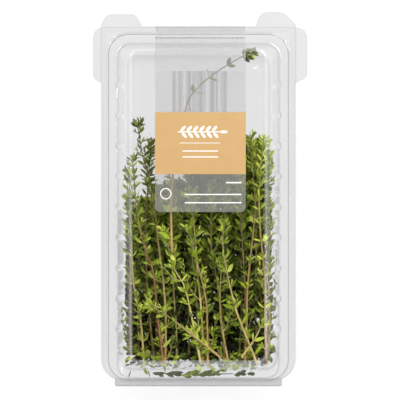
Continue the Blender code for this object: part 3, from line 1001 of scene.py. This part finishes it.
class Growth:
    """Collects the stems and leaves of one sprig into one mesh."""

    def __init__(self, rng, hue, cool=0.0, broad=0.4, fine=True):
        self.rng = rng
        self.broad = broad
        self.leaf_verts, self.leaf_faces = LEAVES[fine]
        self.hue = hue
        self.cool = cool
        self.verts = []
        self.faces = []
        self.kinds = []
        self.leaf_facts = []
        self.sprig_facts = []
        self.count = 0

    def add(self, verts, faces, kind, leaf_facts, along):
        """Adds a part; kind is 0 for a stem and 1 for a leaf."""
        self.faces += [tuple(self.count + corner for corner in face) for face in faces]
        self.kinds += [kind] * len(faces)
        self.verts.append(verts)
        self.leaf_facts.append(leaf_facts)
        facts = np.empty((len(verts), 3))
        facts[:, 0], facts[:, 1], facts[:, 2] = self.hue, along, self.cool
        self.sprig_facts.append(facts)
        self.count += len(verts)

    def stem(self, points, radii, along, sides=6):
        """A round stem through points, closed at both ends."""
        points = np.asarray(points, dtype=float)
        heading = unit_rows(np.gradient(points, axis=0))
        right = np.cross(heading, UP)
        right /= np.linalg.norm(right, axis=1)[:, None] + 1e-9
        top = np.cross(right, heading)
        angles = np.arange(sides) * 2 * math.pi / sides
        rings = (
            points[:, None]
            + right[:, None] * (np.cos(angles)[None, :, None] * np.asarray(radii)[:, None, None])
            + top[:, None] * (np.sin(angles)[None, :, None] * np.asarray(radii)[:, None, None])
        )
        verts = rings.reshape(-1, 3)
        faces = [tuple(range(sides))[::-1]] + tube_faces(len(points), sides)
        last = (len(points) - 1) * sides
        faces.append(tuple(last + side for side in range(sides)))
        facts = np.zeros((len(verts), 3))
        self.add(verts, faces, 0, facts, np.repeat(along, sides))

    def leaf(self, place, heading, facing, length, width, tone, along):
        """One leaf from its foot along a heading; facing is about where its upper side looks."""
        rng = self.rng
        heading = unit(heading)
        facing = unit(facing - heading * heading.dot(facing))
        side = np.cross(heading, facing)
        fold = rng.uniform(-0.25, 0.35)
        bend = rng.uniform(-0.34, 0.14)
        skew = rng.uniform(-0.16, 0.16)
        half, blade, thick, under = self.leaf_verts.T
        across = half * width / 2 + skew * length * blade**2
        ahead = blade * length
        lift = thick * LEAF_THICK + fold * np.abs(half) * width / 2 + bend * length * blade**2
        verts = place + across[:, None] * side + ahead[:, None] * heading + lift[:, None] * facing
        facts = np.stack([np.full(len(blade), tone), blade, under], axis=1)
        self.add(verts, self.leaf_faces, 1, facts, along)

    def pair(self, place, stem, roll, length, spread, tone, along):
        """Two opposite leaves on a stem that heads one way."""
        rng = self.rng
        sideways = unit(np.cross(stem, UP) + 1e-6)
        top = np.cross(sideways, stem)
        for half_turn in (0.0, math.pi):
            angle = roll + half_turn + rng.uniform(-0.3, 0.3)
            outward = sideways * math.cos(angle) + top * math.sin(angle) * 0.6
            lean = spread * rng.uniform(0.75, 1.25)
            heading = unit(stem * math.cos(lean) + unit(outward) * math.sin(lean))
            facing = stem * 0.55 + UP * 0.75 + jitter(rng, 0.5)
            if rng.random() < 0.22:
                facing = -facing
            size = length * rng.uniform(0.78, 1.15)
            ratio = rng.uniform(*BROAD_LEAF if rng.random() < self.broad else NARROW_LEAF)
            shade = min(1.0, max(0.0, tone + rng.uniform(-0.3, 0.3)))
            self.leaf(place, heading, facing, size, size * ratio, shade, along)

    def shoot(self, place, heading, length, pairs, size, tone, along):
        """A short side shoot with a few small pairs and a bud at its tip."""
        rng = self.rng
        bend = jitter(rng, 0.25)
        parts = np.linspace(0.0, 1.0, 5)
        points = [place + heading * length * part + bend * length * part**2 for part in parts]
        self.stem(points, np.linspace(0.24, 0.14, 5), np.full(5, along), sides=4)
        roll = rng.uniform(0, math.pi)
        for index in range(pairs):
            part = (index + 1) / pairs
            spot = place + heading * length * part + bend * length * part**2
            stem = unit(heading + bend * part)
            spread = 0.95 - 0.45 * part
            self.pair(spot, stem, roll, size * (1.0 - 0.35 * part), spread, tone + 0.12 * part, along)
            roll += math.pi / 2

    def branch(self, points, radius, size, tone, along, spacing):
        """A leafy side branch through points."""
        rng = self.rng
        path = smooth_path(points, 14)
        self.stem(path, np.linspace(radius, 0.16, 14), np.linspace(along, 1.0, 14), sides=5)
        reach = reach_along(path)
        headings = np.gradient(path, axis=0)
        place = spacing * rng.uniform(0.6, 1.1)
        roll = rng.uniform(0, math.pi)
        while place < reach[-1]:
            spot = at_reach(place, reach, path)
            heading = unit(at_reach(place, reach, headings))
            part = place / reach[-1]
            spread = 1.0 - 0.45 * part
            self.pair(spot, heading, roll, size * (1 - 0.35 * part), spread, tone + 0.15 * part, part)
            if rng.random() < 0.4 and part < 0.8:
                aside = unit(heading + turned(unit(np.cross(heading, UP)), heading, roll) * 0.8)
                self.shoot(spot, aside, rng.uniform(1.0, 2.4), 1, size * 0.6, tone, part)
            roll += math.pi / 2
            place += spacing * (1.15 - 0.6 * part) * rng.uniform(0.8, 1.2)
        self.tip(path[-1], unit(path[-1] - path[-2]), size * 0.6, tone + 0.2, 1.0)

    def tip(self, place, heading, size, tone, along):
        """The young leaves that close a shoot's tip."""
        roll = self.rng.uniform(0, math.pi)
        for index, spread in enumerate((0.75, 0.5, 0.25)):
            spot = place - heading * (2 - index) * 0.5
            self.pair(spot, heading, roll, size * (1.0 - 0.22 * index), spread, tone, along)
            roll += math.pi / 2


def finish_growth(growth, name, replaced, materials, pressed=True):
    """Turns growth into a piece that rides on the tray; pressed growth keeps inside the well."""
    verts = np.vstack(growth.verts)
    if pressed:
        verts = keep_inside(verts)
    mesh = new_mesh(name, verts, growth.faces, sharp=62)
    for label, values in (("leaf_facts", growth.leaf_facts), ("sprig_facts", growth.sprig_facts)):
        attribute = mesh.attributes.new(label, "FLOAT_VECTOR", "POINT")
        attribute.data.foreach_set("vector", np.vstack(values).astype(np.float32).ravel())
    mesh.polygons.foreach_set("material_index", np.array(growth.kinds, dtype=np.int32))
    finish_piece(name, mesh, "tray", [replaced], materials)


# ---- sprigs


def lane_routes(layer):
    """Routes of one hidden layer: side by side, all leaning the same slight way."""
    rng = random.Random(40 + layer)
    lean = rng.uniform(-3.0, 3.0)
    routes = []
    for lane in range(LANES_IN_A_LAYER):
        x = LANE_SPAN * (lane / (LANES_IN_A_LAYER - 1) - 0.5) + LANE_SHIFTS[layer]
        foot = (x - lean / 2, LANE_FOOT_Y + rng.uniform(0.0, 4.0))
        belly = (x + rng.uniform(-1.2, 1.2), LANE_BELLY_Y)
        tip = (x + lean / 2, LANE_TIPS[lane] + LANE_TIP_SHOOT + rng.uniform(-5.0, 5.0))
        routes.append([foot, belly, tip])
    return routes


# How each layer's sprigs grow: node spacing at the foot, leaf length, the chances of a side
# branch and of a short shoot on each side of a node, and the first node's place.
HABITS = [
    (2.6, 7.8, 0.04, 0.9, 0.5),
    (2.8, 7.8, 0.04, 0.9, 0.5),
    (3.4, 7.4, 0.06, 0.85, 1.0),
    (5.8, 6.6, 0.14, 0.8, 2.0),
    (8.2, 6.6, 0.14, 0.65, 3.0),
    (9.6, 6.7, 0.12, 0.6, 6.0),
    (10.0, 6.5, 0.1, 0.65, 8.0),
]
# By sprig: a habit of its own, extra pairs at its tip, its share of broad leaves, and how grey
# its tip is.
OWN_HABITS = {44: (21.0, 7.2, 0.0, 0.0, 7.0)}
CROWNS = {33: 4, 44: 8}
BROAD_SHARE = {44: 0.8}
COOL_TIPS = {25: 0.6, 26: 0.6, 32: 0.6, 33: 0.9, 37: 0.6, 44: 0.9}
# The share of broad leaves in the hidden layers and in the others.
HIDDEN_BROAD = 0.9
USUAL_BROAD = 0.27
# Painted light: how much lighter each layer is drawn than the one below, for the shade that
# deeper layers lie in, and how much lighter sprigs are whose tips lie past an x, on the lit side.
LAYER_TONE = 0.085
BRIGHT_TONE = 0.12
BRIGHT_SIDE = 22.0
# Loose leaves at a sprig's foot.
LITTER = 8


def sprig_path(rng, route, z):
    """A sprig's way along its route, a little wavy up and down and to the sides."""
    flat = smooth_path(route, 60)
    reach = reach_along(flat)
    wave, phase = rng.uniform(0.3, 1.1), rng.uniform(0, 2 * math.pi)
    sway, sway_phase = rng.uniform(0.15, 0.45), rng.uniform(0, 2 * math.pi)
    heights = z + wave * np.sin(phase + reach / reach[-1] * 5.0)
    aside = sway * np.sin(sway_phase + reach / 9.0)
    return np.column_stack([flat[:, 0] + aside, flat[:, 1], heights]), reach


def grow_aside(growth, spot, heading, roll, size, tone, part, branching, shooting):
    """Perhaps a leafy branch or a short shoot on each side of a node."""
    rng = growth.rng
    sideways = unit(np.cross(heading, UP))
    for turn in (0.0, math.pi):
        outward = turned(sideways, heading, roll + turn + rng.uniform(-0.4, 0.4))
        outward[2] *= 0.5
        chance = rng.random()
        if chance < branching and part < 0.75:
            run = rng.uniform(10.0, 24.0)
            bend = spot + unit(heading + outward * 0.75) * run * 0.35
            points = [spot, bend, bend + unit(heading + outward * 0.25) * run * 0.65]
            growth.branch(points, 0.34, size * 0.78, tone, part, rng.uniform(3.2, 4.4))
        elif chance < shooting:
            run = rng.uniform(0.8, 4.0)
            aim = unit(heading + outward * 0.8)
            growth.shoot(spot, aim, run, 1 + int(run / 2.2), size * 0.68, tone, part)


def litter_foot(growth, foot, tone):
    """Loose leaves round a sprig's cut end."""
    rng = growth.rng
    for _ in range(LITTER):
        at = foot + np.array((rng.uniform(-5, 5), rng.uniform(-1.7, 4), rng.uniform(-1, 2)))
        aim = np.array((rng.uniform(-1, 1), rng.uniform(-0.8, 0.5), rng.uniform(-0.2, 0.4)))
        length, width = rng.uniform(3.0, 6.0), rng.uniform(1.2, 2.2)
        growth.leaf(at, aim, UP, length, width, tone + rng.uniform(0, 0.4), 0.0)


def grow_sprig(number, route, layer, materials):
    """One cut sprig: woody below, with pairs of leaves, side shoots and a leafy tip."""
    rng = random.Random(700 + number)
    gap, size, branching, shooting, first_node = OWN_HABITS.get(number, HABITS[layer])
    broad = HIDDEN_BROAD if layer < 3 else BROAD_SHARE.get(number, USUAL_BROAD)
    growth = Growth(rng, rng.random(), COOL_TIPS.get(number, 0.15), broad, fine=layer > 3)
    path, reach = sprig_path(rng, route, LAYER_Z[layer])
    length = reach[-1]
    parts = reach / length
    knots = 0.08 * np.abs(np.sin(reach / 3.4))
    growth.stem(path, STEM_FOOT + (STEM_TIP - STEM_FOOT) * parts**0.8 + knots * (1 - parts), parts)
    headings = np.gradient(path, axis=0)
    # Painted light: higher layers are drawn lighter, and sprigs reaching the right side lighter still.
    tone = rng.uniform(0.0, 0.25) + LAYER_TONE * layer
    tone += BRIGHT_TONE if route[-1][0] > BRIGHT_SIDE else 0.0
    # Tone rises towards the tip, as young leaves are paler; the larger rise in the hidden layers is painted
    # light on their tips, which come out from under the others.
    tip_lightening = 0.45 if layer < 4 else 0.2
    size *= rng.uniform(0.9, 1.1)
    roll = rng.uniform(0, math.pi)
    place = first_node * rng.uniform(0.5, 1.5)
    gap *= rng.uniform(0.85, 1.15)
    while place < length:
        part = place / length
        spot = at_reach(place, reach, path)
        heading = unit(at_reach(place, reach, headings))
        spread = 1.05 - 0.35 * part
        growth.pair(spot, heading, roll, size * (1 - 0.25 * part), spread, tone + tip_lightening * part, part)
        grow_aside(growth, spot, heading, roll, size, tone + 0.1, part, branching, shooting)
        roll += math.pi / 2 + rng.uniform(-0.2, 0.2)
        place += gap * (1.0 - 0.75 * part**2.5) * rng.uniform(0.75, 1.25)
    tip, heading = path[-1], unit(path[-1] - path[-2])
    growth.tip(tip, heading, size * 0.62, tone + 0.25, 1.0)
    for step in range(CROWNS.get(number, 0)):
        growth.pair(tip - heading * 0.75 * step, heading, roll, 5.0, 1.1, tone, 1.0)
        roll += 1.1
    if layer < 5:
        litter_foot(growth, path[0], tone)
    name = f"sprig_{number:02d}"
    finish_growth(growth, f"leafy_{name}", name, materials)


def make_sprigs(materials):
    """Every sprig, from the base's layer up to the one under the lid."""
    number = 0
    for layer in range(len(LAYER_Z)):
        for route in ROUTES.get(layer) or lane_routes(layer):
            number += 1
            grow_sprig(number, route, layer, materials)


# ---- fallen bits

# Each bit's x, length, width, turn in degrees, kind and tone (a leaf's) or hue (a stalk's).
FALLEN_BITS = [
    # Painted dark reflection: the first two stalks are near black and slant like the dark strokes that the
    # end wall's inner corners show.
    (-35.3, 2.9, 1.0, 72, "stalk", 0.0),
    (-25.4, 2.9, 1.0, -72, "stalk", 0.0),
    (-20.8, 5.4, 1.8, -12, "dry", 0.5),
    (-13.0, 8.0, 2.2, -4, "dry", 0.4),
    (-4.2, 8.4, 2.6, 9, "green", 0.7),
    (3.4, 7.0, 2.4, 6, "green", 0.55),
    (8.5, 5.0, 1.9, 12, "green", 0.65),
    (14.2, 7.2, 0.9, 1, "stalk", 0.0),
    (21.2, 5.6, 2.2, 12, "green", 0.3),
    (26.8, 3.4, 1.6, -10, "green", 0.25),
]
FALLEN_Y = -89.5
FALLEN_Z = 21.35
# The leaves of a heap: how far each is turned, and its foot's place ahead and aside.
HEAP = [
    (-0.3, -0.05, 0.1),
    (0.15, 0.0, -0.25),
    (-0.1, 0.2, 0.3),
    (0.35, 0.3, -0.2),
    (-0.2, 0.45, -0.05),
    (0.05, 0.5, 0.25),
]


def make_fallen_bits(fresh, dry):
    """What has dropped onto the shelf at the hinge end: heaps of leaves and bare stalks."""
    for number, (x, length, width, turn, kind, tone) in enumerate(FALLEN_BITS, start=1):
        rng = random.Random(900 + number)
        growth = Growth(rng, tone)
        turn = math.radians(turn)
        heading = np.array((math.cos(turn), math.sin(turn), 0.0))
        foot = np.array((x, FALLEN_Y, FALLEN_Z)) - heading * length / 2
        if kind == "stalk":
            parts = np.linspace(0, 1, 7)
            points = [foot + heading * length * part + UP * 0.1 * math.sin(part * 5) for part in parts]
            growth.stem(points, width * np.linspace(0.3, 0.2, 7), np.full(7, 0.3))
        else:
            beside = np.cross(UP, heading)
            for turn_off, ahead, aside in HEAP:
                facing = UP + jitter(rng, 0.4)
                at = foot + heading * length * ahead + beside * width * aside
                shade = tone + rng.uniform(-0.4, 0.0)
                aim = turned(heading, UP, turn_off)
                growth.leaf(at, aim, facing, length * 0.68, width * 0.85, shade, 0.5)
        materials = fresh if kind == "green" else dry
        name = f"bit_{number:02d}"
        finish_growth(growth, f"loose_{name}", f"fallen_{name}", materials, pressed=False)


# ---- studio

FLOOR_GLOW = 0.85
FLOOR_REACH = 6.0
FLOOR_DROP = 0.0004
# The studio's glow by height, from the horizon to overhead.
STUDIO_GLOW = [(0.0, 0.75), (0.3, 0.35), (0.6, 0.05), (0.88, 0.002)]
# Each light's place, width and length, all in metres, and power.
STUDIO_LIGHTS = {
    "key": ((0.5, 0.6, 1.45), (0.6, 0.6), 23.0),
    "glint": ((-0.6, 0.6, 1.4), (0.35, 0.35), 9.0),
    "left_strip": ((-0.9, 0.0, 1.1), (1.6, 0.12), 4.5),
    "right_strip": ((0.9, 0.0, 1.1), (1.6, 0.12), 4.5),
}
# Light passes this many clear surfaces before it is lost, as low views cross many sheets.
SHEETS_SEEN_THROUGH = 32
# The camera looks straight down on the flange's height, and sees this width there.
SEEN_HEIGHT = 0.0226
SEEN_WIDTH = 0.2052
CAMERA_REACH = 0.9
SENSOR = 36.0


def make_floor():
    """A plain pale floor with a trace of glow, as a lit table has."""
    material, tree, shader = new_material("pale_floor")
    dress(shader, Base_Color=ramp(noise(tree, 6.0, 2.0), [(0.3, 0.13), (0.7, 0.15)]))
    dress(shader, Roughness=0.9, Specular_IOR_Level=0.0, Emission_Color=1, Emission_Strength=FLOOR_GLOW)
    mesh = bpy.data.meshes.new("floor")
    corners = [(x * FLOOR_REACH, y * FLOOR_REACH, 0) for x, y in ((-1, -1), (1, -1), (1, 1), (-1, 1))]
    mesh.from_pydata(corners, [], [(0, 1, 2, 3)])
    mesh.materials.append(material)
    floor = add_object("floor", mesh)
    floor.location.z = -FLOOR_DROP


def make_light(name, place, size, power):
    """A soft light of a width and length that looks at the pack."""
    light = bpy.data.lights.new(name, "AREA")
    light.shape = "RECTANGLE"
    light.size, light.size_y = size
    light.energy = power
    lamp = add_object(name, light)
    lamp.location = place
    lamp.rotation_euler = (-Vector(place)).to_track_quat("-Z", "Y").to_euler()


def make_studio():
    """Soft light from all round, a stronger one up and to the right, and the camera."""
    scene = bpy.context.scene
    scene.world = bpy.data.worlds.new("studio")
    scene.world.use_nodes = True
    tree = scene.world.node_tree
    height = parts_of(output_of(tree, "ShaderNodeTexCoord", "Generated"))[2]
    dress(tree.nodes["Background"], Color=ramp(height, STUDIO_GLOW), Strength=1.0)
    for name, (place, size, power) in STUDIO_LIGHTS.items():
        make_light(name, place, size, power)
    camera = bpy.data.cameras.new("camera")
    camera.sensor_width = SENSOR
    camera.lens = SENSOR * CAMERA_REACH / SEEN_WIDTH
    camera.clip_start = 0.05
    scene.camera = add_object("camera", camera)
    scene.camera.location = (-0.0001, -0.0002, SEEN_HEIGHT + CAMERA_REACH)
    scene.view_settings.view_transform = "Standard"
    scene.cycles.transparent_max_bounces = SHEETS_SEEN_THROUGH


def build():
    """Makes every visible piece, then the studio."""
    sheet = clear_sheet_material("clear_pet")
    make_shell("tray", TRAY_RINGS, tray_corners(), sheet)
    make_shell("lid", LID_RINGS, lid_corners(), sheet)
    make_fold(sheet)
    make_labels(front_label_material(), back_label_material(), white_print_material())
    herb = [stem_material("thyme_stem"), leaf_material("thyme_leaf")]
    make_sprigs(herb)
    make_fallen_bits(herb, [stem_material("dry_stem", old=True), leaf_material("dry_leaf", old=True)])
    make_studio()


make_floor()
build()
